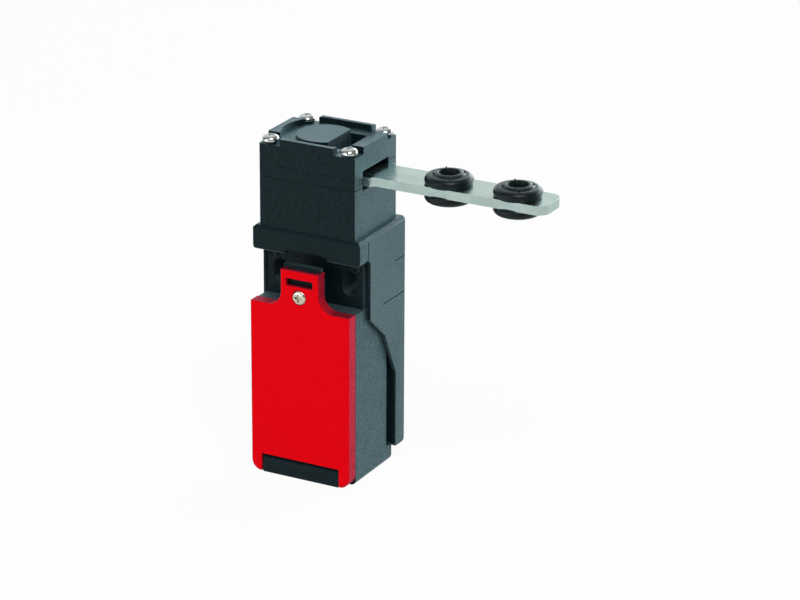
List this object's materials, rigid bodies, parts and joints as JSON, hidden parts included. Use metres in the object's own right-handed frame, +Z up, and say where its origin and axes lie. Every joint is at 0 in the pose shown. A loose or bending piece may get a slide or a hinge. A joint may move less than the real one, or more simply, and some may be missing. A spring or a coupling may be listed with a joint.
{
  "type": "tongue interlock switch",
  "caption": "Slim safety switch: a plastic body with a hinged red wiring cover below a screwed head, and a straight steel tongue with rubber grommets that works a cam and contacts.",
  "frame": {"origin": "on the rear mounting face, midway between the two fixing holes", "axes": "+X along the tongue, the way it is pulled out; +Y out of the rear mounting face; +Z up from the cable entry to the head"},
  "size_m": [0.0828, 0.0297, 0.0946],
  "materials": {
    "body_plastic": "fine-grained moulded plastic",
    "cover_red": "satin moulded plastic",
    "tongue_steel": "bright rolled stainless steel",
    "screw_steel": "bright zinc plating",
    "spring_steel": "drawn wire",
    "grommet_rubber": "moulded rubber",
    "seal_rubber": "soft nitrile rubber",
    "cam_plastic": "natural acetal",
    "block_plastic": "grey insulating plastic",
    "contact_brass": "stamped brass"
  },
  "bodies": {
    "switch_body": {"outer_shell": "body_plastic", "terminal_housing": "body_plastic", "head_base": "body_plastic", "tongue_guide": "body_plastic", "head_cover": "body_plastic", "head_gasket": "seal_rubber", "plunger_seal": "seal_rubber", "head_screws": "screw_steel", "terminal_screws": "screw_steel", "block_screws": "screw_steel", "cam_axle": "spring_steel", "plunger_guide": "contact_brass", "return_spring": "spring_steel", "contact_block": "block_plastic", "contact_block_cover": "block_plastic", "upper_fixed_contacts": "contact_brass", "lower_fixed_contacts": "contact_brass", "terminal_clamps": "contact_brass"},
    "tongue": {"tongue": "tongue_steel", "inner_grommet": "grommet_rubber", "outer_grommet": "grommet_rubber"},
    "cam": {"cam_wheel": "cam_plastic"},
    "plunger": {"plunger": "cam_plastic", "contact_carrier": "cam_plastic", "upper_bridge": "contact_brass", "lower_bridge": "contact_brass", "contact_spring": "spring_steel"},
    "cover": {"terminal_cover": "cover_red", "cover_gasket": "seal_rubber", "cover_screw": "screw_steel"}
  },
  "joints": [
    {"name": "tongue_slide", "type": "slide", "parent": "switch_body", "child": "tongue", "axis": [1, 0, 0], "range_m": [0, 0.025]},
    {"name": "cam_turn", "type": "hinge", "parent": "switch_body", "child": "cam", "pos_m": [0, -0.0133, 0.0232], "axis": [0, 1, 0], "range_deg": [0, 50.1]},
    {"name": "plunger_slide", "type": "slide", "parent": "switch_body", "child": "plunger", "axis": [0, 0, -1], "range_m": [0, 0.003], "stiffness_N_per_m": 300, "springref_m": -0.006, "deforming": ["return_spring"]},
    {"name": "cover_hinge", "type": "hinge", "parent": "switch_body", "child": "cover", "pos_m": [0, -0.0274, -0.0538], "axis": [1, 0, 0], "range_deg": [0, 90]}
  ],
  "couplings": [
    {"joint": "cam_turn", "follows": "tongue_slide", "rad_per_m": 34.9},
    {"joint": "plunger_slide", "follows": "tongue_slide", "ratio": 0.12}
  ]
}
